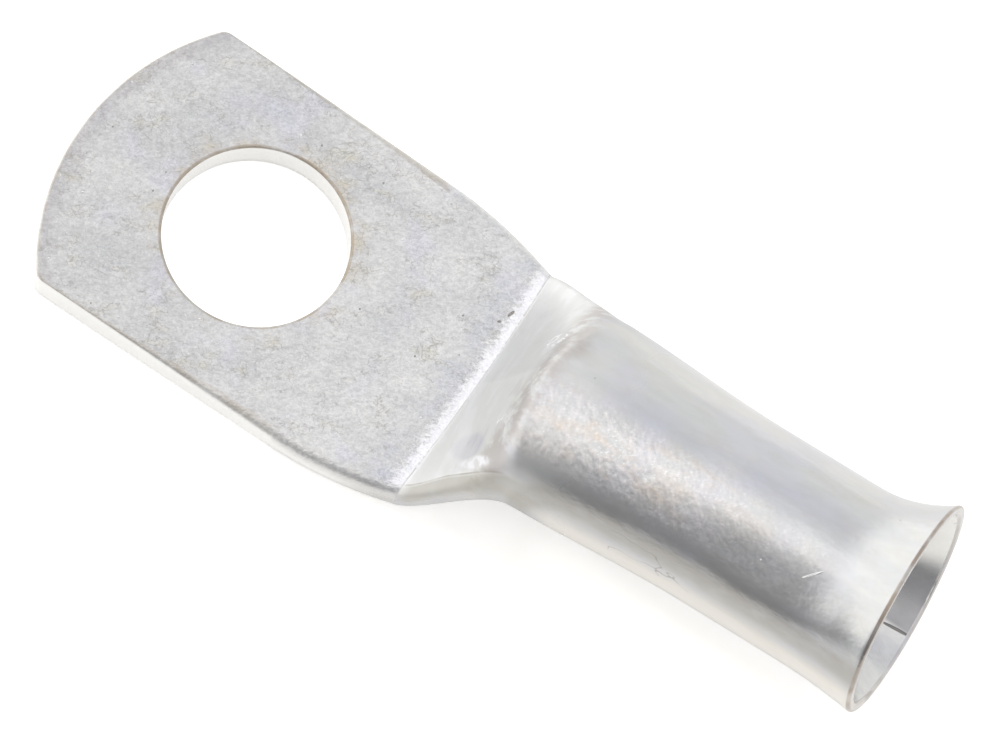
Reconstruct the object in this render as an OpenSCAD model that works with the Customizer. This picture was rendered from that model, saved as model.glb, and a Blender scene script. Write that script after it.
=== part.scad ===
// Cable lug pressed from one piece of tin-plated copper tube: one end is flattened
// into a palm with a stud hole, the other stays round and is flared for the cable.
// Origin: centre of the stud hole, on the palm's underside. +X runs from the palm
// to the cable mouth and +Z out of the palm's upper face.

/* [Palm] */
// Width of the flattened palm
palm_w = 11.3; // [9.5:0.1:12.5]
// Thickness of the palm: two tube walls pressed together
palm_t = 1.35; // [1.2:0.05:2.2]
// Distance from the stud hole's centre to the sheared end
tip_reach = 7.1; // [6.4:0.1:9]
// Radius of the arc that the end is sheared to
tip_r = 9.2; // [8:0.1:12]
// Corner radius where that arc meets the palm's sides
tip_corner_r = 0.5; // [0.2:0.1:1.2]
// Distance from the stud hole's centre to the crease at the foot of the neck
crease_x = 9; // [7.6:0.1:12]

/* [Stud hole] */
// Diameter of the stud hole, which clears an M6 stud
hole_d = 6.5; // [5.3:0.1:7.4]
// Width of the rolled edge round the hole, on the palm's upper face
hole_edge = 0.15; // [0.05:0.05:0.3]

/* [Neck] */
// Length of the steep slope from the crease up to the barrel's crest
neck_len = 2.6; // [2:0.1:5]
// How much longer the slope gets towards the sides, as a share of its length
neck_side_lag = 0.45; // [0.1:0.05:0.8]
// Length over which the palm's sides draw in ahead of the crease
draw_len = 4.6; // [2:0.1:5]
// How far each side has drawn in at the crease
draw_in = 0.75; // [0.1:0.05:0.9]
// Length past the crease over which the width falls to the barrel's
waist_len = 3.4; // [2.5:0.1:6]

/* [Barrel] */
// Height of the barrel's axis over the palm's underside, at the crease
axis_h = 3.175; // [3:0.025:4.5]
// Angle at which the barrel rises from the palm towards the mouth
barrel_rise = 7; // [0:0.5:9]
// How far the barrel's axis stands to +Y of the palm's middle
barrel_y = 0.15; // [0:0.05:0.4]
// Length of the barrel's axis from the crease to the mouth
barrel_len = 16.8; // [14:0.1:24]
// Outside diameter where the neck runs into the barrel
shoulder_d = 7.1; // [6.9:0.05:8]
// Outside diameter over the plain length of the barrel
barrel_d = 6.77; // [6.5:0.05:7.5]
// Length over which the barrel tapers from the first diameter to the second
taper_len = 6; // [4:0.5:9]
// Diameter of the cable bore, which takes a 16 square millimetre conductor
bore_d = 5.4; // [4.6:0.1:5.6]

/* [Flare] */
// Length of the flared mouth
flare_len = 2.9; // [1.5:0.1:4]
// How far the rim stands out past the barrel, on average
flare_out = 0.62; // [0.2:0.02:1]
// How much further it stands out on the +Y side, and less on the other
flare_lean = 0.38; // [0:0.02:0.5]
// Angle between the rim's plane and a square-cut mouth
mouth_skew = 3; // [0:0.5:5]
// Wall thickness at the rim
rim_wall = 0.6; // [0.4:0.05:0.7]
// Radius that breaks the rim's outer edge
rim_r = 0.15; // [0.05:0.05:0.2]

/* [Hidden] */

// The skin is a row of closed rings of points, and these say how many.
fold_steps = 4;       // points up one rounded side fold, a quarter turn
flat_steps = 12;      // points over half of the flat face
neck_steps = 26;      // rings over the waist and the neck
taper_steps = 4;      // rings along the barrel's taper
flare_steps = 8;      // rings along the flare, outside and inside

quarter_steps = fold_steps + flat_steps;
ring_n = 4 * quarter_steps;
fold_r = palm_t / 2;
flat_half = palm_w / 2 - fold_r;
fold_arc = PI * fold_r / 2;
quarter_run = flat_half + fold_arc;
fold_share = fold_arc / quarter_run;

draw_x = crease_x - draw_len;
neck_end = crease_x + neck_len * (1 + neck_side_lag);
mouth_s = crease_x + barrel_len;
flare_s = mouth_s - flare_len;
bore_r = bore_d / 2;
bore_end = neck_end + 0.4;
crease_round = 0.08;     // share of the slope that rounds the crease
crest_round = 0.14;      // the same at the barrel's shoulder, on its crest
side_round = 0.5;        // and at its sides
step = 0.03;             // keeps cut surfaces from lying in one another
slit = 0.02;             // half height left between the pressed walls
overcut = 1;

function mix(a, b, g) = a + (b - a) * g;
function clamp01(t) = max(0, min(1, t));
function ease(t) = let (c = clamp01(t)) c * c * (3 - 2 * c);

// A straight climb from 0 to 1 that is rounded over the shares c0 and c1 at its ends.
function climb(t, c0, c1) =
    let (u = clamp01(t), v = 1 / (1 - (c0 + c1) / 2))
    u < c0 ? v * u * u / (2 * c0)
    : u < 1 - c1 ? v * (u - c0 / 2)
    : 1 - v * (1 - u) * (1 - u) / (2 * c1);

// Angle round the tube of the ring's point i, from the +Y side over the top. The
// spacing puts points where the palm's folds meet its flat faces.
function quarter_share(j) =
    j <= fold_steps ? fold_share * j / fold_steps
    : mix(fold_share, 1, (j - fold_steps) / flat_steps);
function ring_angle(i) =
    let (k = floor(i / quarter_steps), j = i - k * quarter_steps)
    90 * (k + (k % 2 == 0 ? quarter_share(j) : 1 - quarter_share(quarter_steps - j)));

// The flattened section, as [y, z]: the tube's wall laid out over two flat faces
// and two half-round folds, so each point keeps its place along the wall.
function palm_point(a, half_t, draw) =
    let (run = asin(abs(sin(a))) / 90 * quarter_run,
         turn = run / fold_arc * 90,
         y = run < fold_arc ? flat_half + half_t * cos(turn) : quarter_run - run,
         z = run < fold_arc ? half_t * sin(turn) : half_t)
    [sign(cos(a)) * y * draw, fold_r + sign(sin(a)) * z];

// The round section at s along the barrel's axis, turned with the axis.
function barrel_point(s, a, r) =
    let (d = s - crease_x)
    [crease_x + d * cos(barrel_rise) - r * sin(a) * sin(barrel_rise),
     barrel_y + r * cos(a),
     axis_h + d * sin(barrel_rise) + r * sin(a) * cos(barrel_rise)];

function barrel_r(s) = mix(shoulder_d, barrel_d, ease((s - neck_end) / taper_len)) / 2;

// Each point of the wall leaves the palm at the crease and climbs to the barrel:
// the crest first, the sides later, while the width draws in at its own pace.
function lift(s, a) =
    let (run = neck_len * (1 + neck_side_lag * pow(cos(a), 2)))
    climb((s - crease_x) / run, crease_round, mix(side_round, crest_round, max(0, sin(a))));
function draw(s) = 1 - draw_in / (palm_w / 2) * pow(clamp01((s - draw_x) / draw_len), 2);
function wall_point(s, a, half_t, r) =
    let (p = palm_point(a, half_t, draw(s)), b = barrel_point(s, a, r))
    [mix(s, b.x, ease((s - crease_x) / (neck_end - crease_x))),
     mix(p.x, b.y, ease((s - crease_x) / waist_len)),
     mix(p.y, max(0, b.z), lift(s, a))];
function wall_ring(s, half_t, r) =
    [for (i = [0 : ring_n - 1]) wall_point(s, ring_angle(i), half_t, r)];

// The flare opens as a parabola, further on one side than on the other, and draws
// the rim back where it opens most. t is 0 where it starts and 1 at the rim.
function flare_ring(t, r) =
    [for (i = [0 : ring_n - 1])
        let (a = ring_angle(i),
             r_a = r + (flare_out + flare_lean * cos(a)) * t * t,
             s = flare_s + flare_len * t - r_a * cos(a) * tan(mouth_skew) * t)
        barrel_point(s, a, r_a)];

// Closed skin over a list of rings, with a flat cap at each end.
module skin(rings) {
    last = (len(rings) - 1) * ring_n;
    sides = [for (k = [0 : len(rings) - 2], i = [0 : ring_n - 1])
        let (j = (i + 1) % ring_n, q = k * ring_n)
        each [[q + i, q + ring_n + j, q + j], [q + i, q + ring_n + i, q + ring_n + j]]];
    polyhedron(
        points = [for (ring = rings) each ring],
        faces = concat(
            [[for (i = [0 : ring_n - 1]) i]],
            sides,
            [[for (i = [ring_n - 1 : -1 : 0]) last + i]]));
}

// Outside of the tube: palm, waist, neck, barrel and flare.
module outer_form() {
    neck = [for (k = [0 : neck_steps]) wall_ring(
        mix(draw_x, neck_end, k / neck_steps), fold_r, shoulder_d / 2)];
    taper = [for (k = [1 : taper_steps])
        let (s = neck_end + taper_len * k / taper_steps) wall_ring(s, fold_r, barrel_r(s))];
    flare = [for (k = [0 : flare_steps])
        flare_ring(k / flare_steps * (1 - rim_r / flare_len), barrel_d / 2)];
    skin(concat(
        [wall_ring(-tip_reach - overcut, fold_r, shoulder_d / 2)],
        neck, taper, flare,
        [flare_ring(1, barrel_d / 2 - rim_r)]));
}

// Room inside the flare, from the bore out past the rim.
module flare_inside() {
    skin([for (k = [0 : flare_steps + 2])
        flare_ring(k / flare_steps, barrel_d / 2 - rim_wall - step)]);
}

// The tube's own hollow closes from the bore to a slit at the crease.
module neck_hollow() {
    start = crease_x + neck_len * crease_round;
    skin([for (k = [0 : neck_steps / 2]) wall_ring(
        mix(start, bore_end + step, k / (neck_steps / 2)), slit, bore_r - step)]);
}

module cable_bore() {
    translate([crease_x, barrel_y, axis_h]) rotate([0, 90 - barrel_rise, 0])
        translate([0, 0, bore_end - crease_x])
            cylinder(h = mouth_s - bore_end + overcut, d = bore_d, $fn = 96);
}

module stud_hole() {
    translate([0, 0, -overcut]) cylinder(h = palm_t + 2 * overcut, d = hole_d, $fn = 96);
    translate([0, 0, palm_t - hole_edge])
        cylinder(h = hole_edge + overcut, d1 = hole_d,
            d2 = hole_d + 2 * (hole_edge + overcut), $fn = 96);
}

// What the shear takes off: all that lies outside the end's arc and its corners.
module tip_offcut() {
    arc_x = tip_r - tip_reach;
    reach = palm_w;
    translate([0, 0, -overcut]) linear_extrude(palm_t + 2 * overcut) {
        difference() {
            translate([-tip_reach - 2 * overcut, -reach])
                square([tip_reach / 2 + 2 * overcut, 2 * reach]);
            translate([arc_x, 0]) circle(r = tip_r, $fn = 180);
        }
        for (side = [1, -1]) mirror([0, (1 - side) / 2])
            tip_corner(arc_x, palm_w / 2 - tip_corner_r);
    }
}

// The sharp corner outside a fillet between the end's arc and a side of the palm.
module tip_corner(arc_x, fillet_y) {
    fillet_x = arc_x - sqrt(pow(tip_r - tip_corner_r, 2) - pow(fillet_y, 2));
    centre = [fillet_x, fillet_y];
    to_arc = 2 * tip_corner_r * (centre - [arc_x, 0]) / norm(centre - [arc_x, 0]);
    to_side = [0, 2 * tip_corner_r];
    difference() {
        polygon([centre, centre + to_arc, centre + to_arc + to_side, centre + to_side]);
        translate(centre) circle(r = tip_corner_r, $fn = 48);
    }
}

module cable_lug() {
    color("silver") difference() {
        outer_form();
        tip_offcut();
        stud_hole();
        cable_bore();
        neck_hollow();
        flare_inside();
    }
}

cable_lug();
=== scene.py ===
import math

import bmesh
import bpy
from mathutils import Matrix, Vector, noise


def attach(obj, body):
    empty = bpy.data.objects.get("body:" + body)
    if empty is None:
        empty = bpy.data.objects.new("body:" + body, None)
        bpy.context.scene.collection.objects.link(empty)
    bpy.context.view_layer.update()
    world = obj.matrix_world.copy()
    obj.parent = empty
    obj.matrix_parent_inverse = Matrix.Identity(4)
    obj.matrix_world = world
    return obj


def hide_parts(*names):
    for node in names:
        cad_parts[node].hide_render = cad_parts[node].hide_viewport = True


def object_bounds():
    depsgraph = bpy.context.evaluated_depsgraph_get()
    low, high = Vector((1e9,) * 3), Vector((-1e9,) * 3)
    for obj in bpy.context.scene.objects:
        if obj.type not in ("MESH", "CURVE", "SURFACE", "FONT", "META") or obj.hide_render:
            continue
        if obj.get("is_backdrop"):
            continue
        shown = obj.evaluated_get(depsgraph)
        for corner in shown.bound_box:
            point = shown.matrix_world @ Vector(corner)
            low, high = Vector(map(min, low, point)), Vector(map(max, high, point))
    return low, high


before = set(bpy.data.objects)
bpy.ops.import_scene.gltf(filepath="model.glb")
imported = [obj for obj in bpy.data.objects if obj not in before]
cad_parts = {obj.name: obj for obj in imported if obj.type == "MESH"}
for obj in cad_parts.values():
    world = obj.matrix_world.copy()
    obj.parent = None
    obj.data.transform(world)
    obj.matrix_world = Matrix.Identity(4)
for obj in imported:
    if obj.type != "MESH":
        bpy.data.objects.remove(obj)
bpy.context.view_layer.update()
mm = 0.001

# THE FLATTENED SECTION. The lug starts as a soft copper tube. One end of it is
# pressed between flat dies until its walls meet, so its section there is two flat
# faces joined by two folds, which are squeezed tight at the tip and slacker inwards.
palm_w, palm_t = 11.3, 1.35
tip_reach, tip_r, tip_corner_r = 7.1, 9.2, 0.5
hole_r = 3.25
crease_x, barrel_y = 9.0, 0.15
draw_len, draw_in, waist_len = 4.6, 0.75, 3.4
palm_join = crease_x - draw_len
half_t, half_w = palm_t / 2, palm_w / 2
fold_steps, flat_steps = 9, 64
fold_share = 0.18
arc_from = 0.4
tight_corner, slack_corner, slack_from, slack_run = 0.07, 0.45, -5, 12.5


def mix(a, b, share):
    return a + (b - a) * share


def ease(t):
    t = min(1.0, max(0.0, t))
    return t * t * (3 - 2 * t)


def fold_corner(x):
    return mix(tight_corner, slack_corner, ease((x - slack_from) / slack_run))


def quarter_spot(step):
    if step <= fold_steps:
        return ("fold", step / fold_steps)
    return ("flat", 1 - (step - fold_steps) / flat_steps)


def ring_spots():
    quarter = fold_steps + flat_steps
    spots = []
    for turn in range(4):
        for step in range(quarter):
            k = step if turn % 2 == 0 else quarter - step
            kind, t = quarter_spot(k)
            side_y = 1 if turn in (0, 3) else -1
            side_z = 1 if turn < 2 else -1
            share = fold_share * t if kind == "fold" else mix(fold_share, 1, 1 - t)
            angle = {0: 90 * share, 1: 180 - 90 * share,
                     2: 180 + 90 * share, 3: 360 - 90 * share}[turn]
            spots.append((kind, t, side_y, side_z, math.radians(angle)))
    return spots


def fold_profile(t, thick, corner):
    corner = min(corner, thick)
    if t < arc_from:
        return corner, (thick - corner) * t / arc_from
    turn = (t - arc_from) / (1 - arc_from) * math.pi / 2
    return corner * math.cos(turn), thick - corner + corner * math.sin(turn)


def flat_section(spot, wide, thick, corner):
    kind, t, side_y, side_z, angle = spot
    if kind == "flat":
        return side_y * (wide - corner) * t, side_z * thick
    out, up = fold_profile(t, thick, corner)
    return side_y * (wide - corner + out), side_z * up


# THE NECK, BARREL AND MOUTH. Past the crease the upper wall climbs steeply and the
# section opens into the round barrel, which takes the cable. The barrel stands up a
# little from the palm, and its mouth is flared, more on one side than on the other.
neck_len, neck_side_lag = 2.6, 0.45
axis_h, barrel_rise, barrel_len = 3.175, math.radians(7), 16.8
shoulder_d, barrel_d, taper_len, bore_d = 7.1, 6.77, 6.0, 5.4
flare_len, flare_out, flare_lean = 2.9, 0.59, 0.38
mouth_skew, rim_wall, rim_r = math.radians(3), 0.38, 0.15
neck_end = crease_x + neck_len * (1 + neck_side_lag)
flare_s = crease_x + barrel_len - flare_len
bore_past_neck = 0.4
bore_end = neck_end + bore_past_neck
ramp_len, ramp_h, ramp_jag = 0.46, 0.12, 0.3
wide_jags, fine_jags = 1.4, 4.6
die_bow, die_bow_y, die_curve = 0.12, -1.0, 0.006
bow_from, bow_grow, bow_to, bow_fade = 7.6, 1.2, 11.4, 1.6
squash_angle, squash_from, squash_to = math.radians(165), 11.5, 19.2
squash_depth, squash_in = 0.45, 0.1
dent_angle, dent_w, dent_depth, dent_from, dent_to = 130, 15, 0.10, 17.0, 24.6
dent_grow, dent_fade = 4.0, 2.0
line_depth, line_w, line_from, line_to = 0.05, 0.09, 9.1, 12.6
line_margin, line_grow, line_fade = 0.2, 0.4, 0.7
fold_foot, fold_head, fold_run, mm_per_degree = 163.5, 157, 1.3, 0.061
elsewhere = 9
dimple_at, dimple_r, dimple_depth = Vector((10.1, -2.6, 3.2)), 0.85, 0.14
dimple_push = Vector((0.85, 0.2, -0.45))
wall_foot, inner_foot, wall_crest, side_crest = 0.02, 0.08, 0.14, 0.5
slit, slit_run = 0.02, 0.25


def climb(t, foot, crest):
    t = min(1.0, max(0.0, t))
    pace = 1 / (1 - (foot + crest) / 2)
    if t < foot:
        return pace * t * t / (2 * foot)
    if t < 1 - crest:
        return pace * (t - foot / 2)
    return 1 - pace * (1 - t) ** 2 / (2 * crest)


def squash(s, angle):
    start = ease((s - crease_x) / (squash_from - crease_x))
    fade = min(1.0, max(0.0, (squash_to - s) / (squash_to - squash_from)))
    return start * fade * (squash_depth * math.cos(2 * (angle - squash_angle)) - squash_in)


def dent(s, angle):
    across = (math.degrees(angle) - dent_angle) / dent_w
    along = ease((s - dent_from) / dent_grow) * ease((dent_to - s) / dent_fade)
    return -dent_depth * along * math.exp(-across * across)


def barrel_point(s, angle, r):
    d = s - crease_x
    if r > barrel_d / 2 - rim_wall:
        r += squash(s, angle) + dent(s, angle)
    up = r * math.sin(angle)
    return Vector((crease_x + d * math.cos(barrel_rise) - up * math.sin(barrel_rise),
                   barrel_y + r * math.cos(angle),
                   axis_h + d * math.sin(barrel_rise) + up * math.cos(barrel_rise)))


def barrel_r(s):
    return mix(shoulder_d, barrel_d, ease((s - neck_end) / taper_len)) / 2


def upper_share(spot):
    if spot[3] < 0:
        return 0.0
    return 1.0 if spot[0] == "flat" else spot[1]


def crease_shift(s, y):
    bow = die_bow - die_curve * (y - die_bow_y) ** 2
    return bow * ease((s - bow_from) / bow_grow) * ease((bow_to - s) / bow_fade)


def jagged(y):
    return (noise.noise(Vector((y * wide_jags, 3.1, 0)))
            + noise.noise(Vector((y * fine_jags, 0.4, 0))))


def wall_point(s, spot, r, thick, foot, crest):
    angle = spot[4]
    drawn = 1 - draw_in / half_w * min(1.0, max(0.0, (s - palm_join) / draw_len)) ** 2
    corner = fold_corner(s) * thick / half_t
    y, z = flat_section(spot, half_w - half_t + thick, thick, corner)
    y = y * drawn
    z = half_t + z
    shift = 0.0
    if thick == half_t:
        shift = crease_shift(s, y) * upper_share(spot)
        reach = ramp_len * (1 + ramp_jag * jagged(y))
        ramp = min(1.0, max(0.0, (s - shift - crease_x + reach) / reach))
        z += ramp_h * ramp * upper_share(spot)
    s -= shift
    run = neck_len * (1 + neck_side_lag * math.cos(angle) ** 2)
    lift = climb((s - crease_x) / run, foot,
                 mix(side_crest, crest, max(0.0, math.sin(angle))))
    b = barrel_point(s, angle, r)
    return Vector((mix(s, b.x, ease((s - crease_x) / (neck_end - crease_x))) + shift,
                   mix(y, b.y, ease((s - crease_x) / waist_len)),
                   mix(z, max(0.0, b.z), lift)))


def fold_way(s, spot):
    if spot[3] < 0 or spot[2] > 0:
        return elsewhere
    fold_angle = mix(fold_foot, fold_head, ease((s - line_from) / fold_run))
    return (math.degrees(spot[4]) - fold_angle) * mm_per_degree


def worked_point(s, spot, point):
    if spot[3] < 0 or not line_from - line_margin < s < line_to + line_margin:
        return point
    inward = Vector((barrel_point(s, 0, 0) - point)).normalized()
    groove = math.exp(-(fold_way(s, spot) / line_w) ** 2)
    groove *= ease((s - line_from) / line_grow) * ease((line_to - s) / line_fade)
    hollow = math.exp(-((point - dimple_at).length / dimple_r) ** 2)
    return point + inward * line_depth * groove + dimple_push * (dimple_depth * hollow)


def flare_point(t, angle, r):
    r = r + (flare_out + flare_lean * math.cos(angle)) * t * t
    s = flare_s + flare_len * t - r * math.cos(angle) * math.tan(mouth_skew) * t
    return barrel_point(s, angle, r)


def spaced(start, stop, gap):
    count = max(1, round(abs(stop - start) / gap))
    return [mix(start, stop, k / count) for k in range(count)]


crease_rows_from, crease_rows_to = 8.1, 9.4
palm_gap, crease_gap, neck_gap, barrel_gap, bore_gap, slit_gap = 0.16, 0.05, 0.08, 0.33, 1.0, 0.25
outer_rows = (
    spaced(palm_join, crease_rows_from, palm_gap)
    + spaced(crease_rows_from, crease_rows_to, crease_gap)
    + spaced(crease_rows_to, neck_end, neck_gap)
    + spaced(neck_end, flare_s, barrel_gap))
flare_steps, rim_steps, lip_steps, cone_steps = 24, 6, 4, 12
flare_rows = [(k / flare_steps * (1 - rim_r / flare_len), barrel_d / 2)
              for k in range(flare_steps)]
for k in range(rim_steps):
    turn = math.pi / 2 * k / (rim_steps - 1)
    flare_rows.append((1 - rim_r * (1 - math.sin(turn)) / flare_len,
                       barrel_d / 2 - rim_r * (1 - math.cos(turn))))
lip_r = 0.06
for k in range(lip_steps):
    turn = math.pi / 2 * k / (lip_steps - 1)
    flare_rows.append((1 - lip_r * (1 - math.cos(turn)) / flare_len,
                       barrel_d / 2 - rim_wall + lip_r * (1 - math.sin(turn))))
cone_row = len(flare_rows)
for k in (cone_steps - 0.2, *range(cone_steps - 1, -1, -1)):
    t = k / cone_steps * (1 - lip_r / flare_len)
    flare_rows.append((t, mix(bore_d / 2, barrel_d / 2 - rim_wall, t)))
inner_rows = (
    spaced(flare_s, bore_end, bore_gap)[1:] + spaced(bore_end, crease_x, slit_gap)
    + [crease_x])


# The -Y side of the barrel below its middle, where the barrel's coat lays a painted dark band
# and, below it, a painted light band, both painted reflections.
def low_share(angle):
    low_from, low_run, low_to, low_fade = 140, 36, 250, 30
    rise = min(1.0, max(0.0, (math.degrees(angle) - low_from) / low_run))
    return rise * ease((low_to - math.degrees(angle)) / low_fade)


# The bore's painted shade, from the seam line round towards +Y.
def bore_shade_share(angle):
    seam_turn, seam_run, shade_to, shade_fade = 283.5, 2.5, 330, 28
    turned = math.degrees(angle) % 360
    return ease((turned - seam_turn) / seam_run) * ease((shade_to - turned) / shade_fade)


# The bore's painted reflection, around its +Y side.
def bore_light_share(angle):
    light_from, light_run, light_to, light_fade = 322, 12, 60, 20
    turned = math.degrees(angle) % 360
    if turned > 180:
        return ease((turned - light_from) / light_run)
    return ease((light_to - turned) / light_fade)


def belly_share(angle):
    belly_angle, spread_up, spread_down, core = 122, 24, 15, 1.6
    off = math.degrees(angle) - belly_angle
    return ease(core + off / spread_up) if off < 0 else ease(core - off / spread_down)


def grainy(s, angle):
    grain_from, grain_run, thinner_from, thinner_run, thinner = 11.2, 0.8, 15, 7, 0.45
    share = belly_share(angle) * ease((s - grain_from) / grain_run)
    return share * mix(1.0, thinner, ease((s - thinner_from) / thinner_run))


def coppery(s, angle):
    copper_from, copper_run, copper_to, copper_fade = 11.0, 1.5, 21.5, 6.0
    copper_angle, copper_spread, core = 112, 22, 1.3
    share = ease((s - copper_from) / copper_run) * ease((copper_to - s) / copper_fade)
    return share * ease(core - abs(math.degrees(angle) - copper_angle) / copper_spread)


burnish_past, burnish_fade, low_grow = 0.3, 0.5, 3
mouth_belly, mouth_belly_rows, lip_worn = 0.45, 8, 0.4
spots = ring_spots()
body = bmesh.new()
# This layer holds real shares (upper face, grain, copper) and the shares of painted light: the
# barrel's painted reflection bands and the bore's painted light and shade.
finish_and_light_layer = body.verts.layers.float_color.new("finish_and_painted_light")
edge_layer = body.verts.layers.float_color.new("edge")
way_layer = body.verts.layers.float_vector.new("way")
rows = len(outer_rows) + len(flare_rows) + len(inner_rows)
tube = bmesh.ops.create_grid(body, x_segments=len(spots), y_segments=rows - 1, size=1)
for vert in tube["verts"]:
    spot = spots[round((vert.co.x + 1) / 2 * len(spots)) % len(spots)]
    row = round((vert.co.y + 1) / 2 * (rows - 1))
    angle = spot[4]
    if row < len(outer_rows):
        s = outer_rows[row]
        point = wall_point(s, spot, barrel_r(s), half_t, wall_foot, wall_crest)
        vert.co = worked_point(s, spot, point)
        pressed = ease((crease_x + burnish_past - s) / burnish_fade)
        side = ease(1 - abs(spot[1])) if spot[0] == "fold" else 0.0
        low = low_share(angle) * ease((s - squash_from) / low_grow)
        vert[finish_and_light_layer] = (low, upper_share(spot), grainy(s, angle), coppery(s, angle))
        vert[edge_layer] = (0, 0, side * pressed, 0)
        vert[way_layer] = (s - crease_shift(s, vert.co.y) - crease_x, fold_way(s, spot), s)
        continue
    row -= len(outer_rows)
    if row < len(flare_rows):
        t, r = flare_rows[row]
        vert.co = flare_point(t, angle, r)
        vert[way_layer] = (elsewhere, elsewhere, flare_s + flare_len * t)
        if row < cone_row:
            on_rim = flare_steps < row < flare_steps + rim_steps - 1
            worn = 1.0 if on_rim else lip_worn if row > flare_steps else 0.0
            belly = mouth_belly * ease(1 - row / mouth_belly_rows) * belly_share(angle)
            vert[finish_and_light_layer] = (low_share(angle), 0, belly, 0)
            vert[edge_layer] = (worn, 0, 0, 0)
        else:
            vert[finish_and_light_layer] = (0, bore_light_share(angle), bore_shade_share(angle), 0)
            vert[edge_layer] = (0, 1, 0, 0)
        continue
    s = inner_rows[row - len(flare_rows)]
    vert[finish_and_light_layer] = (0, bore_light_share(angle), bore_shade_share(angle), 0)
    vert[edge_layer] = (0, 1, 0, 0)
    vert[way_layer] = (elsewhere, elsewhere, s)
    if s > bore_end:
        vert.co = barrel_point(s, angle, bore_d / 2)
    else:
        shut = slit * min(1.0, (s - crease_x) / slit_run)
        vert.co = wall_point(s, spot, bore_d / 2, shut, inner_foot, wall_crest)

# THE PALM. The pressed end is punched for the stud and sheared off to an arc. The
# punch rolls the hole's upper edge in a little, and the shear leaves a tight edge.
tip_corner = 0.09
arc_x, arc_y = tip_r - tip_reach, -0.1
side_steps, turn_steps, arc_steps = 44, 12, 130
outline = []
for spot in spots[fold_steps:fold_steps + 2 * flat_steps + 1]:
    y, z = flat_section(spot, half_w, half_t, fold_corner(palm_join))
    outline.append((palm_join, y, 0, 0, 0))
for side in (-1, 1):
    fy = side * (half_w - tip_corner_r)
    fx = arc_x - math.sqrt((tip_r - tip_corner_r) ** 2 - (fy - arc_y) ** 2)
    to_arc = math.atan2(fy - arc_y, fx - arc_x)
    run = []
    for k in range(1, side_steps + 1):
        x = mix(palm_join, fx, k / side_steps)
        run.append((x, side * half_w, 0, side, fold_corner(x)))
    start = side * math.pi / 2
    swing = (to_arc - start + math.pi) % (2 * math.pi) - math.pi
    for k in range(1, turn_steps + 1):
        a = start + swing * k / turn_steps
        corner = mix(fold_corner(fx), tip_corner, k / turn_steps)
        run.append((fx + tip_corner_r * math.cos(a), fy + tip_corner_r * math.sin(a),
                    math.cos(a), math.sin(a), corner))
    if side < 0:
        outline += run
        from_arc = to_arc
    else:
        swing = (to_arc - from_arc) % (-2 * math.pi)
        for k in range(1, arc_steps):
            a = from_arc + swing * k / arc_steps
            outline.append((arc_x + tip_r * math.cos(a), arc_y + tip_r * math.sin(a),
                            math.cos(a), math.sin(a), tip_corner))
        outline += run[::-1]


def flat_edge(spot):
    x, y, nx, ny, corner = spot
    return Vector((x - nx * corner, y - ny * corner, 0))


sheet_rows = [0, 0.01, 0.03, 0.07, 0.13, 0.2, 0.28, 0.36, 0.44, 0.52, 0.6, 0.68, 0.76,
              0.84, 0.9, 0.95, 0.98, 0.992, 1]
roll, roll_steps = 0.09, 5
hole_edge = 0.03
hole_rows = [(hole_r + hole_edge, 0), (hole_r, hole_edge), (hole_r, 0.3), (hole_r, 0.6),
             (hole_r, 0.9)]
for k in range(roll_steps + 1):
    turn = math.pi / 2 * k / roll_steps
    hole_rows.append((hole_r + roll * (1 - math.cos(turn)),
                      palm_t - roll + roll * math.sin(turn)))
palm_rows = 2 * (len(sheet_rows) - 1) + len(hole_rows)
palm = bmesh.ops.create_grid(body, x_segments=len(outline), y_segments=palm_rows - 1,
                             size=1)
for vert in palm["verts"]:
    edge = flat_edge(outline[round((vert.co.x + 1) / 2 * len(outline)) % len(outline)])
    row = round((vert.co.y + 1) / 2 * (palm_rows - 1))
    aim = edge.normalized()
    last = len(sheet_rows) - 1
    if row < last:
        vert.co = edge.lerp(aim * hole_rows[0][0], sheet_rows[row])
    elif row < last + len(hole_rows):
        r, z = hole_rows[row - last]
        vert.co = aim * r + Vector((0, 0, z))
    else:
        t = sheet_rows[row - last - len(hole_rows) + 1]
        vert.co = (aim * hole_rows[-1][0]).lerp(edge, t) + Vector((0, 0, palm_t))
    wall = last <= row < last + len(hole_rows)
    arris = wall and vert.co.z > palm_t - roll
    vert[finish_and_light_layer] = (0, 1 if vert.co.z > half_t else 0, 0, 0)
    vert[edge_layer] = (1 if arris else 0, 0, 1 if wall and not arris else 0, 0)
    vert[way_layer] = (vert.co.x - crease_x, elsewhere, vert.co.x)

fold_worn, worn_from_step = 0.55, 5
free_edge = outline[2 * flat_steps:] + outline[:1]
strip = bmesh.ops.create_grid(body, x_segments=len(free_edge) - 1,
                              y_segments=2 * fold_steps, size=1)
for vert in strip["verts"]:
    k = round((vert.co.x + 1) / 2 * (len(free_edge) - 1))
    x, y, nx, ny, corner = free_edge[k]
    if k in (0, len(free_edge) - 1):
        side = -1 if k == 0 else 1
        x, y, nx, ny = palm_join, side * half_w, 0, side
        corner = fold_corner(palm_join)
    step = round((vert.co.y + 1) * fold_steps) - fold_steps
    out, up = fold_profile(abs(step) / fold_steps, half_t, corner)
    reach = out - corner
    vert.co = Vector((x + nx * reach, y + ny * reach,
                      half_t + math.copysign(up, step)))
    worn = fold_worn if step > worn_from_step else 0
    vert[finish_and_light_layer] = (0, 1 if step > 0 else 0, 0, 0)
    vert[edge_layer] = (worn, 0, ease(2 - 2 * abs(step) / fold_steps), 0)
    vert[way_layer] = (vert.co.x - crease_x, elsewhere, vert.co.x)

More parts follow.
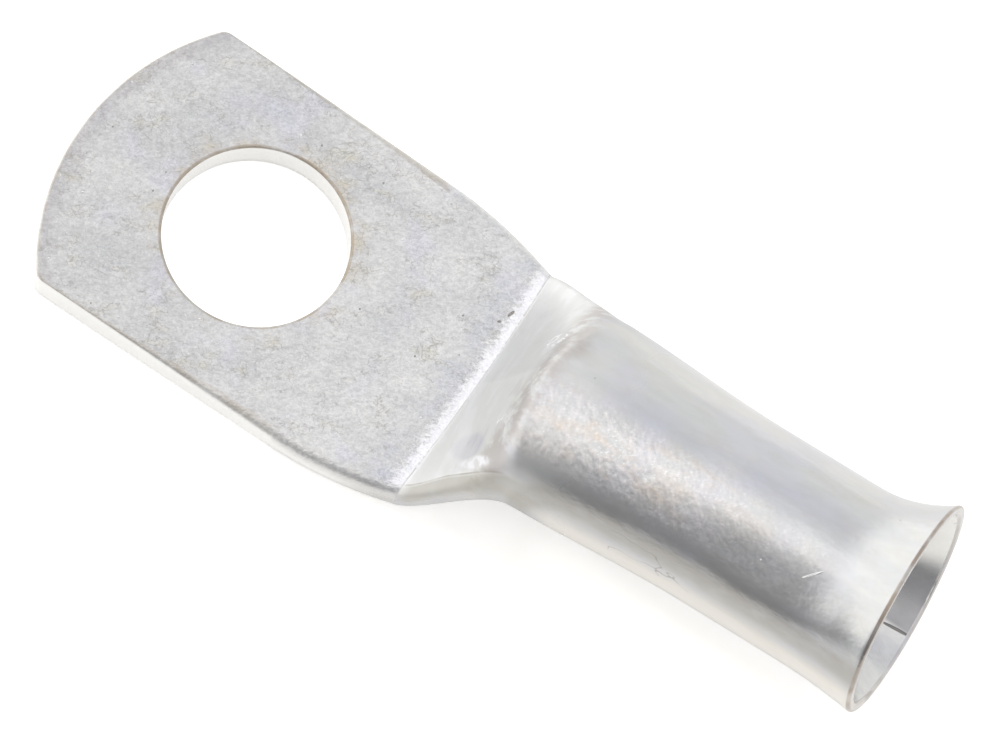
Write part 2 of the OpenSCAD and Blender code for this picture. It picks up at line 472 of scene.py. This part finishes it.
weld = 0.0005
palm_coat, barrel_coat, bore_coat = 0, 1, 2
bmesh.ops.remove_doubles(body, verts=body.verts, dist=weld)
bmesh.ops.recalc_face_normals(body, faces=body.faces)
for face in body.faces:
    inside = min(vert[edge_layer][1] for vert in face.verts) > 0.5
    past = sum(vert[way_layer][0] for vert in face.verts) > 0
    face.material_index = bore_coat if inside else barrel_coat if past else palm_coat
bmesh.ops.scale(body, vec=(mm, mm, mm), verts=body.verts)
mesh = bpy.data.meshes.new("lug_skin")
body.to_mesh(mesh)
body.free()
mesh.shade_smooth()
lug = bpy.data.objects.new("lug_skin", mesh)
bpy.context.collection.objects.link(lug)
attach(lug, "root")
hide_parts("cable_lug")

# THE TIN ON THE PALM. The whole lug is plated with tin, which dulls to a soft silver
# grey. The pressed faces keep the wrinkled grain of the dies, with pits and stains. The
# sheared walls are burnished, and the die's corner leaves a ragged strip, a low ramp that
# is painted white as a painted highlight. Painted shade darkens the crease line, a bluish
# band beside the strip and a band inside the tip arc, and painted light makes the palm
# lighter towards the crease.
def linked(tree, kind, **settings):
    made = tree.nodes.new(kind)
    for name, value in settings.items():
        socket = made.inputs.get(name.replace("_", " "))
        if socket is None:
            setattr(made, name, value)
        elif isinstance(value, bpy.types.NodeSocket):
            tree.links.new(value, socket)
        else:
            socket.default_value = value
    return made


def fed(tree, made, terms, sockets):
    for term, socket in zip(terms, sockets):
        if isinstance(term, bpy.types.NodeSocket):
            tree.links.new(term, socket)
        else:
            socket.default_value = (*term, 1) if isinstance(term, tuple) else term
    return made


def worked_out(tree, operation, *terms):
    made = linked(tree, "ShaderNodeMath", operation=operation)
    return fed(tree, made, terms, made.inputs).outputs[0]


def product(tree, *terms):
    total = terms[0]
    for term in terms[1:]:
        total = worked_out(tree, "MULTIPLY", total, term)
    return total


def sum_of(tree, *terms):
    total = terms[0]
    for term in terms[1:]:
        total = worked_out(tree, "ADD", total, term)
    return total


def window(tree, value, low, high, bottom=0.0, top=1.0):
    return linked(tree, "ShaderNodeMapRange", interpolation_type="SMOOTHSTEP",
                  Value=value, From_Min=low, From_Max=high,
                  To_Min=bottom, To_Max=top).outputs["Result"]


def tinted(tree, share, under, over, blend="MIX"):
    made = linked(tree, "ShaderNodeMix", data_type="RGBA", blend_type=blend)
    sockets = (made.inputs[0], made.inputs[6], made.inputs[7])
    return fed(tree, made, (share, under, over), sockets).outputs[2]


def laid(tree, tone, colour, *shares):
    return tinted(tree, product(tree, *shares), tone, colour)


def dimmed(tree, tone, factor):
    return tinted(tree, 1.0, tone, factor, "MULTIPLY")


def grain(tree, place, size, detail, rough, turn, off=0.0):
    laid_out = linked(tree, "ShaderNodeMapping", vector_type="TEXTURE", Vector=place,
                      Scale=size, Rotation=[math.radians(a) for a in turn],
                      Location=(off, off, off))
    return linked(tree, "ShaderNodeTexNoise", Vector=laid_out.outputs[0], Scale=1.0,
                  Detail=detail, Roughness=rough).outputs["Fac"]


def off_middle(tree, field):
    return worked_out(tree, "ABSOLUTE", sum_of(tree, field, -0.5))


def specks(tree, place, gap, small, large, share, off=0.0):
    soft = 0.05
    laid_out = linked(tree, "ShaderNodeMapping", vector_type="TEXTURE", Vector=place,
                      Scale=(gap, gap, gap), Location=(off, off, off))
    cells = linked(tree, "ShaderNodeTexVoronoi", Vector=laid_out.outputs[0], Scale=1.0)
    chosen = linked(tree, "ShaderNodeSeparateColor", Color=cells.outputs["Color"])
    near = window(tree, cells.outputs["Distance"], large, small)
    picked = window(tree, chosen.outputs[0], 1 - share, 1 - share + soft)
    return product(tree, near, picked)


def mark(tree, place, at, size, turn=(0, 0, 0), soft=0.7):
    laid_out = linked(tree, "ShaderNodeMapping", vector_type="TEXTURE", Vector=place,
                      Scale=size, Rotation=[math.radians(a) for a in turn], Location=at)
    reach = linked(tree, "ShaderNodeVectorMath", operation="LENGTH",
                   Vector=laid_out.outputs[0]).outputs["Value"]
    return window(tree, reach, 1.0, soft)


def away_from(tree, place, point):
    made = linked(tree, "ShaderNodeVectorMath", operation="DISTANCE", Vector=place)
    made.inputs[1].default_value = point
    return made.outputs["Value"]


def tin_coat(name):
    coat = bpy.data.materials.new(name)
    coat.use_nodes = True
    tree = coat.node_tree
    tree.nodes["Principled BSDF"].inputs["Metallic"].default_value = 1.0
    here = linked(tree, "ShaderNodeTexCoord").outputs["Object"]
    place = linked(tree, "ShaderNodeVectorMath", operation="SCALE", Scale=1 / mm,
                   Vector=here).outputs[0]
    finish_and_painted_light = linked(tree, "ShaderNodeAttribute", attribute_name="finish_and_painted_light").outputs
    edge = linked(tree, "ShaderNodeAttribute", attribute_name="edge").outputs
    way = linked(tree, "ShaderNodeAttribute", attribute_name="way").outputs
    share = linked(tree, "ShaderNodeSeparateColor", Color=finish_and_painted_light["Color"]).outputs
    worn = linked(tree, "ShaderNodeSeparateColor", Color=edge["Color"]).outputs
    span = linked(tree, "ShaderNodeSeparateXYZ", Vector=way["Vector"]).outputs
    mesh.materials.append(coat)
    return tree, place, {"low": share[0], "upper": share[1], "belly": share[2],
                         "bore_light": share[1], "bore_shade": share[2], "warm": finish_and_painted_light["Alpha"],
                         "lip": worn[0], "burnish": worn[2], "crease": span[0],
                         "fold": span[1], "along": span[2]}


def coat_with(tree, tone, matt, relief):
    shader = tree.nodes["Principled BSDF"]
    bump = linked(tree, "ShaderNodeBump", Height=relief, Distance=mm)
    tree.links.new(tone, shader.inputs["Base Color"])
    tree.links.new(matt, shader.inputs["Roughness"])
    tree.links.new(bump.outputs[0], shader.inputs["Normal"])


grey_tin, pale_tin, white_tin = (0.595, 0.595, 0.595), (0.67, 0.665, 0.655), (0.90, 0.90, 0.92)
straw, lilac, tea = (0.64, 0.61, 0.49), (0.62, 0.62, 0.70), (0.60, 0.54, 0.44)
rim_shade_grey, scuff_grey, crinkle_grey = (0.47, 0.45, 0.46), (0.30, 0.30, 0.27), (0.34, 0.33, 0.31)
pit_dark, dint_dark, crease_shade_dark = (0.22, 0.20, 0.17), (0.20, 0.17, 0.14), (0.26, 0.24, 0.22)
shade_blue, strip_highlight_white, stroke_grey = (0.54, 0.56, 0.65), (0.84, 0.84, 0.88), (0.42, 0.42, 0.47)
burnished, palm_copper, under_grey = (0.95, 0.95, 0.94), (0.42, 0.36, 0.29), (0.63, 0.625, 0.615)
die_turn, strip_turn = (0, 0, 33), (0, 0, 14)
rim_shade_from_r, rim_shade_to_r, stain_from_r, stain_to_r = 8.45, 8.85, 3.3, 4.2

tree, place, at = tin_coat("pressed_tin")
wrinkle = grain(tree, place, (0.18, 0.115, 0.3), 3, 0.7, die_turn)
fine = grain(tree, place, (0.08, 0.06, 0.08), 2, 0.6, die_turn, 5)
cloud = grain(tree, place, (2.6, 1.6, 2.0), 2, 0.55, (0, 0, 20), 11)
patch = grain(tree, place, (1.3, 0.8, 1.0), 3, 0.65, die_turn, 23)
haze = grain(tree, place, (2.2, 2.0, 2.0), 2, 0.5, (0, 0, 0), 37)
pit = specks(tree, place, 0.62, 0.035, 0.075, 0.24)
fleck = specks(tree, place, 0.45, 0.06, 0.13, 0.20, 3.3)
rubs = grain(tree, place, (0.26, 0.09, 0.3), 3, 0.75, (0, 0, 40), 61)
scuff = product(tree, window(tree, rubs, 0.55, 0.66), window(tree, patch, 0.54, 0.62))
veins = off_middle(tree, grain(tree, place, (0.42, 0.34, 0.4), 2, 0.6, (0, 0, 20), 91))
crinkle = product(tree, window(tree, veins, 0.03, 0.008), window(tree, patch, 0.47, 0.58))

tone = tinted(tree, window(tree, cloud, 0.3, 0.7), grey_tin, pale_tin)
tone = laid(tree, tone, straw, window(tree, patch, 0.56, 0.78, 0, 0.6))
tone = laid(tree, tone, lilac, window(tree, haze, 0.5, 0.75, 0, 0.55))
tone = dimmed(tree, tone, window(tree, wrinkle, 0.3, 0.7, 0.88, 1.10))
tone = dimmed(tree, tone, window(tree, fine, 0.3, 0.7, 0.93, 1.06))
# Painted light: the palm is made up to 7% lighter towards the crease.
tone = dimmed(tree, tone, window(tree, at["crease"], -11, -1, 1.0, 1.07))

# Painted shade: a darker band just inside the sheared tip arc.
from_arc_centre = sum_of(tree, away_from(tree, place, (arc_x, arc_y, palm_t)),
                         window(tree, patch, 0.3, 0.7, -0.2, 0.2))
painted_rim_shade = window(tree, from_arc_centre, rim_shade_from_r, rim_shade_to_r)
near_hole = window(tree, away_from(tree, place, (0, 0, palm_t)), stain_to_r, stain_from_r)
tone = laid(tree, tone, rim_shade_grey, painted_rim_shade, window(tree, wrinkle, 0.3, 0.6, 0.7, 0.3))
tone = laid(tree, tone, tea, near_hole, window(tree, patch, 0.45, 0.65, 0, 0.45))
tone = laid(tree, tone, white_tin, fleck, 0.75)
tone = laid(tree, tone, scuff_grey, scuff, 0.45)
tone = laid(tree, tone, crinkle_grey, crinkle, 0.45)
tone = laid(tree, tone, pit_dark, pit, 0.7)

jag = grain(tree, place, (0.35, 0.17, 0.4), 3, 0.75, strip_turn, 9)
hatch = grain(tree, place, (0.24, 0.075, 0.3), 2, 0.65, strip_turn, 29)
border = sum_of(tree, at["crease"], window(tree, jag, 0.3, 0.7, -0.28, 0.28))
shade = product(tree, at["upper"], window(tree, border, -1.7, -0.8),
                window(tree, border, -0.4, -0.7), window(tree, patch, 0.4, 0.6, 0.05, 0.35))
# The strip at the die's corner is a real low ramp; its white is a painted highlight.
strip = product(tree, at["upper"], window(tree, border, -0.60, -0.40),
                window(tree, at["crease"], -0.5, -0.1, 0.55, 1.0))
strokes = product(tree, at["upper"], window(tree, border, -0.85, -0.55),
                  window(tree, at["crease"], -0.10, -0.28),
                  window(tree, hatch, 0.50, 0.40), window(tree, jag, 0.35, 0.6))
# Painted shade: a thin dark line along the crease.
crease_shade_line = product(tree, at["upper"], window(tree, at["crease"], -0.04, -0.01),
               window(tree, jag, 0.36, 0.6, 0.15, 0.8))
dint = worked_out(tree, "MAXIMUM",
                  mark(tree, place, (8.62, 2.82, 1.38), (0.17, 0.06, 0.3), (0, 0, 75)),
                  mark(tree, place, (8.45, 2.36, 1.35), (0.08, 0.05, 0.3), (0, 0, 40)))
below = product(tree, worked_out(tree, "SUBTRACT", 1.0, at["upper"]),
                window(tree, at["crease"], -2.5, -0.2))
tone = laid(tree, tone, shade_blue, shade)
tone = laid(tree, tone, strip_highlight_white, strip, 0.85)
tone = laid(tree, tone, stroke_grey, strokes, 0.4)
tone = laid(tree, tone, crease_shade_dark, crease_shade_line, 0.45)
tone = laid(tree, tone, dint_dark, dint, 0.75)
tone = laid(tree, tone, burnished, at["burnish"], 0.95)
tone = laid(tree, tone, palm_copper, at["lip"], window(tree, patch, 0.35, 0.6, 0.35, 0.85))
tone = laid(tree, tone, under_grey, below)

matt = sum_of(tree, window(tree, cloud, 0.3, 0.7, 0.37, 0.43),
              window(tree, fine, 0.3, 0.7, -0.03, 0.05), product(tree, below, -0.14))
relief = sum_of(tree, product(tree, wrinkle, 0.032), product(tree, fine, 0.008),
                product(tree, pit, -0.02), product(tree, fleck, 0.020),
                product(tree, hatch, strip, 0.04), product(tree, dint, -0.03))
relief = product(tree, relief, worked_out(tree, "SUBTRACT", 1.0, below))
coat_with(tree, tone, matt, relief)

# THE TIN ON THE NECK AND BARREL. The drawn tube keeps a satin gloss. Its belly is
# grainy, with warm stains where the copper shows, and its grain carries painted glints.
# The dies rub the neck dull and leave a thin groove along its fold, nicks on the shoulder,
# and a few scratches and hairlines. Painted shade darkens the groove, the crease and the
# dimple, painted highlights lie beside the fold and near the shoulder, and the lower side
# carries a painted dark band and a painted light band as painted reflections.
cool_tin, warm_tin, blue_tin = (0.595, 0.605, 0.61), (0.64, 0.635, 0.625), (0.60, 0.60, 0.66)
pale_copper, brown_copper, lip_copper = (0.72, 0.63, 0.57), (0.70, 0.57, 0.45), (0.36, 0.30, 0.25)
painted_dark_band_grey, painted_light_band_white, film_brown = (0.48, 0.47, 0.45), (0.80, 0.775, 0.735), (0.50, 0.48, 0.44)
grit_white, frost_glint_white, frost_dark = (0.84, 0.80, 0.80), (0.95, 0.93, 0.93), (0.42, 0.40, 0.40)
shoulder_highlight_white, speck_dark, hair_dark = (0.80, 0.77, 0.75), (0.22, 0.21, 0.20), (0.25, 0.24, 0.22)
slope_tin, smear_white, smear_grey = (0.78, 0.785, 0.775), (0.85, 0.85, 0.87), (0.68, 0.67, 0.67)
ridge_brown, rubbed_brown, fold_shade_brown = (0.50, 0.46, 0.44), (0.44, 0.40, 0.37), (0.34, 0.28, 0.22)
hollow_shade_blue, glint_white, fold_grey = (0.58, 0.57, 0.66), (0.97, 0.97, 1.0), (0.60, 0.58, 0.52)
fresh_white = (1.0, 1.0, 1.0)
along_tube, neck_turn = (0, -7, 0), (0, -50, 20)

tree, place, at = tin_coat("drawn_tin")
streak = grain(tree, place, (5.0, 0.8, 0.8), 3, 0.6, along_tube, 2)
mottle = grain(tree, place, (1.1, 0.6, 0.6), 3, 0.65, along_tube, 41)
hammered = grain(tree, place, (0.24, 0.40, 0.40), 1, 0.5, (20, -7, 35), 17)
frost_grain_and_glints = grain(tree, place, (0.13, 0.09, 0.09), 2, 0.6, (10, -7, 30), 97)
smear = grain(tree, place, (0.8, 2.2, 1.4), 3, 0.6, neck_turn, 83)
patch = grain(tree, place, (1.3, 0.8, 1.0), 2, 0.6, die_turn, 23)
haze = grain(tree, place, (2.2, 2.0, 2.0), 2, 0.5, (0, 0, 0), 37)
pit = specks(tree, place, 0.75, 0.03, 0.065, 0.2)
cloudy = window(tree, mottle, 0.3, 0.6, 0.7, 1.0)

tone = tinted(tree, window(tree, streak, 0.35, 0.65), cool_tin, warm_tin)
tone = laid(tree, tone, blue_tin, window(tree, haze, 0.42, 0.66, 0, 0.5))
tone = laid(tree, tone, pale_copper, at["warm"], window(tree, mottle, 0.46, 0.66, 0, 0.6))
tone = laid(tree, tone, brown_copper, at["warm"], window(tree, mottle, 0.62, 0.72, 0, 0.55))
# Painted reflections: a dark band on the barrel's -Y side and a light band below it.
tone = laid(tree, tone, painted_dark_band_grey, window(tree, at["low"], 0.15, 0.32),
            window(tree, at["low"], 0.75, 0.5), cloudy)
tone = laid(tree, tone, painted_light_band_white, window(tree, at["low"], 0.66, 1.0), cloudy)
tone = laid(tree, tone, grit_white, at["belly"], window(tree, hammered, 0.46, 0.64, 0, 0.3))
# The belly's frost grain: its white specks are painted glints, its dark specks grain.
tone = laid(tree, tone, frost_glint_white, at["belly"], window(tree, frost_grain_and_glints, 0.54, 0.72, 0, 0.42))
tone = laid(tree, tone, frost_dark, at["belly"], window(tree, frost_grain_and_glints, 0.46, 0.30, 0, 0.25))
# Painted highlight: a pale patch on the belly near the shoulder.
shoulder_highlight = product(tree, window(tree, at["along"], 11.2, 11.8),
                   window(tree, at["along"], 15.5, 12.0))
hair = off_middle(tree, grain(tree, place, (1.9, 0.9, 0.9), 2, 0.5, along_tube, 53))
hairline = product(tree, window(tree, hair, 0.007, 0.002),
                   window(tree, at["along"], 16.0, 16.4),
                   window(tree, at["along"], 20.0, 19.2),
                   window(tree, at["fold"], -0.3, 0.0), window(tree, at["fold"], 1.1, 0.8))
tone = laid(tree, tone, shoulder_highlight_white, shoulder_highlight, at["belly"], 0.25)
tone = laid(tree, tone, speck_dark, pit, 0.45)
tone = laid(tree, tone, hair_dark, hairline, 0.6)
tone = laid(tree, tone, film_brown, window(tree, mottle, 0.40, 0.66), 0.16)

slope = product(tree, window(tree, at["crease"], 0.0, 0.04),
                window(tree, at["crease"], 3.0, 2.2), window(tree, at["upper"], 0.2, 1.0),
                window(tree, at["fold"], 9.5, 8.5, 0.55, 1.0))
# Painted shade: a thin dark line along the crease, on the neck's side.
crease_shade_line = product(tree, at["upper"], window(tree, at["crease"], 0.05, 0.015),
               window(tree, patch, 0.3, 0.6, 0.3, 0.8))
ridge = product(tree, at["upper"], window(tree, at["along"], 10.8, 11.3),
                window(tree, at["along"], 12.4, 11.6), window(tree, mottle, 0.35, 0.6))
hollow = mark(tree, place, (10.2, -2.68, 3.3), (1.6, 0.75, 0.9), (0, -50, 0), 0.1)
glint = mark(tree, place, (10.85, -3.28, 4.0), (1.4, 0.32, 0.6), (0, -50, 10), 0.0)
rubbed = mark(tree, place, (11.5, 1.5, 6.6), (0.9, 0.9, 0.9), (0, 0, 0), 0.1)
tone = laid(tree, tone, slope_tin, slope)
tone = laid(tree, tone, smear_white, slope, window(tree, smear, 0.5, 0.66, 0, 0.6))
tone = laid(tree, tone, smear_grey, slope, window(tree, smear, 0.46, 0.34, 0, 0.6))
tone = laid(tree, tone, ridge_brown, ridge, 0.6)
# Painted shade: the dimple beside the fold is painted darker.
tone = laid(tree, tone, hollow_shade_blue, window(tree, hollow, 0.05, 0.5),
            window(tree, smear, 0.35, 0.6, 0.75, 0.25))
tone = laid(tree, tone, glint_white, window(tree, glint, 0.0, 0.5),
            window(tree, hammered, 0.35, 0.6, 0.3, 0.9))
tone = laid(tree, tone, rubbed_brown, rubbed, window(tree, mottle, 0.3, 0.6, 0.3, 0.7))
tone = laid(tree, tone, crease_shade_dark, crease_shade_line, 0.45)

# The fold's groove is modelled; the brown line painted along it is painted shade.
fold_groove_shade = product(tree, window(tree, at["along"], 9.0, 9.3),
                    window(tree, at["along"], 12.3, 11.6),
                    window(tree, worked_out(tree, "ABSOLUTE", at["fold"]), 0.06, 0.015),
                    window(tree, patch, 0.3, 0.5, 0.45, 1.0))
under_fold = product(tree, window(tree, at["along"], 8.9, 9.5),
                     window(tree, at["along"], 14.0, 11.5),
                     window(tree, at["fold"], 0.0, 0.12),
                     window(tree, at["fold"], 1.4, 0.7))
curl = off_middle(tree, grain(tree, place, (0.5, 0.3, 0.3), 1, 0.5, (0, 0, 0), 71))
nicks = worked_out(tree, "MAXIMUM",
                   mark(tree, place, (10.65, 1.70, 4.9), (0.6, 0.5, 0.75)),
                   mark(tree, place, (10.75, -1.85, 5.0), (0.25, 0.25, 0.3)))
scratches = worked_out(tree, "MAXIMUM",
                       mark(tree, place, (22.50, -1.33, 7.92), (0.45, 0.05, 0.2),
                            (0, -24, 45), 0.6),
                       mark(tree, place, (20.80, -1.71, 7.46), (0.07, 0.045, 0.1)))
bright_mark = worked_out(tree, "MAXIMUM",
                         product(tree, window(tree, curl, 0.055, 0.02), nicks), scratches)
tone = laid(tree, tone, fold_grey, under_fold, 0.6)
tone = laid(tree, tone, fold_shade_brown, fold_groove_shade, 0.5)
tone = laid(tree, tone, fresh_white, bright_mark, 0.9)
tone = laid(tree, tone, lip_copper, at["lip"], window(tree, patch, 0.35, 0.6, 0.45, 0.9))

matt = sum_of(tree, window(tree, haze, 0.3, 0.7, 0.19, 0.25),
              product(tree, at["belly"], 0.04), product(tree, slope, 0.32),
              product(tree, under_fold, 0.20), product(tree, shoulder_highlight, 0.20))
relief = sum_of(tree, product(tree, mottle, 0.012),
                product(tree, at["belly"], hammered, 0.036),
                product(tree, bright_mark, 0.03))
coat_with(tree, tone, matt, relief)

# THE TIN IN THE BORE. Inside, the tube is plated too, duller and marked lengthwise by
# the drawing. A short seam line runs in from the mouth. From the seam round towards +Y
# the bore is painted darker as painted shade, and around its +Y side it is painted near
# white as a painted reflection.
bore_grey, bore_pale = (0.60, 0.60, 0.60), (0.70, 0.70, 0.69)
painted_bore_shade_grey, painted_bore_light_white = (0.28, 0.28, 0.30), (0.93, 0.92, 0.88)
seam_dark, chip_dark = (0.16, 0.15, 0.14), (0.30, 0.28, 0.27)

tree, place, at = tin_coat("bore_tin")
drawn_lines = grain(tree, place, (9.0, 0.09, 0.09), 1, 0.5, along_tube, 19)
haze = grain(tree, place, (2.2, 1.2, 1.2), 2, 0.5, (0, 0, 0), 37)
cloudy = window(tree, haze, 0.3, 0.7, 0.7, 1.0)
seam = mark(tree, place, (25.65, 0.97, 2.0), (0.80, 0.06, 0.6), (0, 16, 12.7), 0.6)
chip = mark(tree, place, (25.35, 4.04, 5.32), (0.16, 0.3, 0.03), (0, -28, 45), 0.3)
tone = tinted(tree, window(tree, haze, 0.35, 0.65), bore_grey, bore_pale)
tone = dimmed(tree, tone, window(tree, drawn_lines, 0.35, 0.65, 0.97, 1.02))
# Painted shade from the seam line, and a painted reflection around the bore's +Y side.
tone = laid(tree, tone, painted_bore_shade_grey, at["bore_shade"], cloudy, 0.85)
tone = laid(tree, tone, painted_bore_light_white, at["bore_light"], cloudy, 0.8)
tone = laid(tree, tone, seam_dark, seam, 0.85)
tone = laid(tree, tone, chip_dark, chip, 0.8)
matt = window(tree, haze, 0.3, 0.7, 0.26, 0.34)
relief = sum_of(tree, product(tree, drawn_lines, 0.001), product(tree, seam, -0.04))
coat_with(tree, tone, matt, relief)

# THE STUDIO. The lug lies on a smooth white sheet inside a light tent. The tent is
# bright overhead and past the tip, and its open front, on the -Y side, is dark low down.
def angle_ramp(tree, angle, stops):
    made = linked(tree, "ShaderNodeValToRGB", Fac=worked_out(tree, "DIVIDE", angle, math.pi))
    elements = made.color_ramp.elements
    while len(elements) < len(stops):
        elements.new(0.5)
    for element, (degrees, colour) in zip(elements, stops):
        element.position = degrees / 180
        element.color = (*colour, 1)
    return made.outputs["Color"]


sheet_reach, sheet_gap = 1.5, 0.00002
floor_mesh = bpy.data.meshes.new("white_sheet")
sheet = bmesh.new()
bmesh.ops.create_grid(sheet, x_segments=1, y_segments=1, size=sheet_reach)
bmesh.ops.translate(sheet, vec=(0, 0, -sheet_gap), verts=sheet.verts)
sheet.to_mesh(floor_mesh)
sheet.free()
floor = bpy.data.objects.new("white_sheet", floor_mesh)
bpy.context.collection.objects.link(floor)
floor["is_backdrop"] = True

paper_glow, camera_glow = 0.22, 0.26
paper_white, paper_gloss, paper_ior = (0.89, 0.88, 0.85), 0.12, 2.5
paper = bpy.data.materials.new("white_paper")
paper.use_nodes = True
tree = paper.node_tree
path = linked(tree, "ShaderNodeLightPath").outputs
seen = worked_out(tree, "MAXIMUM", path["Is Camera Ray"], path["Is Glossy Ray"])
seen = worked_out(tree, "MAXIMUM", seen, path["Is Transmission Ray"])
lit = tree.nodes["Principled BSDF"]
lit.inputs["Base Color"].default_value = (*paper_white, 1)
lit.inputs["Roughness"].default_value = paper_gloss
lit.inputs["IOR"].default_value = paper_ior
lit.inputs["Emission Color"].default_value = (1, 1, 1, 1)
tree.links.new(sum_of(tree, product(tree, seen, paper_glow),
                      product(tree, path["Is Camera Ray"], camera_glow)),
               lit.inputs["Emission Strength"])
floor_mesh.materials.append(paper)

tent_level, tip_boost, tip_white = 1.2, 1.2, (1, 1, 0.99)
white_from, white_to, boost_from, boost_to = -0.375, -0.53, -0.40, -0.65
tent_tones = [(0, (0.84, 0.84, 0.83)), (25, (0.86, 0.87, 0.86)),
              (42, (0.77, 0.77, 0.79)), (56, (0.70, 0.71, 0.76)),
              (72, (0.84, 0.84, 0.86)), (88, (0.91, 0.91, 0.91)),
              (104, (0.91, 0.89, 0.88)), (118, (0.75, 0.73, 0.72)),
              (130, (0.60, 0.59, 0.59)), (143, (0.44, 0.44, 0.45)),
              (158, (0.30, 0.30, 0.31)), (180, (0.20, 0.20, 0.20))]
world = bpy.data.worlds.new("light_tent")
bpy.context.scene.world = world
world.use_nodes = True
tree = world.node_tree
axes = linked(tree, "ShaderNodeSeparateXYZ",
              Vector=linked(tree, "ShaderNodeTexCoord").outputs["Generated"]).outputs
tone = angle_ramp(tree, worked_out(tree, "ARCTAN2", axes["Z"], axes["Y"]), tent_tones)
tent = tree.nodes["Background"]
past_tip = window(tree, axes["X"], white_from, white_to)
strength = window(tree, axes["X"], boost_from, boost_to, tent_level, tent_level * tip_boost)
tree.links.new(tinted(tree, past_tip, tone, tip_white), tent.inputs["Color"])
tree.links.new(strength, tent.inputs["Strength"])
open_white = linked(tree, "ShaderNodeBackground", Color=(1, 1, 1, 1))
path = linked(tree, "ShaderNodeLightPath").outputs
either = linked(tree, "ShaderNodeMixShader",
                Fac=worked_out(tree, "MAXIMUM", path["Is Camera Ray"],
                               path["Is Transmission Ray"]))
tree.links.new(tent.outputs[0], either.inputs[1])
tree.links.new(open_white.outputs[0], either.inputs[2])
tree.links.new(either.outputs[0], tree.nodes["World Output"].inputs["Surface"])

panel = bpy.data.lights.new("top_panel", "AREA")
panel.shape = "SQUARE"
panel.size = 0.45
panel.energy = 0.12
panel_object = bpy.data.objects.new("top_panel", panel)
panel_object.location = (-0.2, -0.12, 0.6)
bpy.context.collection.objects.link(panel_object)

camera = bpy.data.objects.new("camera", bpy.data.cameras.new("camera"))
camera.location = (0.040919, -0.117863, 0.326981)
camera.rotation_euler = (math.radians(19.497), math.radians(-6.935),
                         math.radians(33.650))
camera.data.lens = 368.29
camera.data.clip_start = 0.01
bpy.context.collection.objects.link(camera)
bpy.context.scene.camera = camera
bpy.context.scene.view_settings.view_transform = "Standard"

low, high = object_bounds()
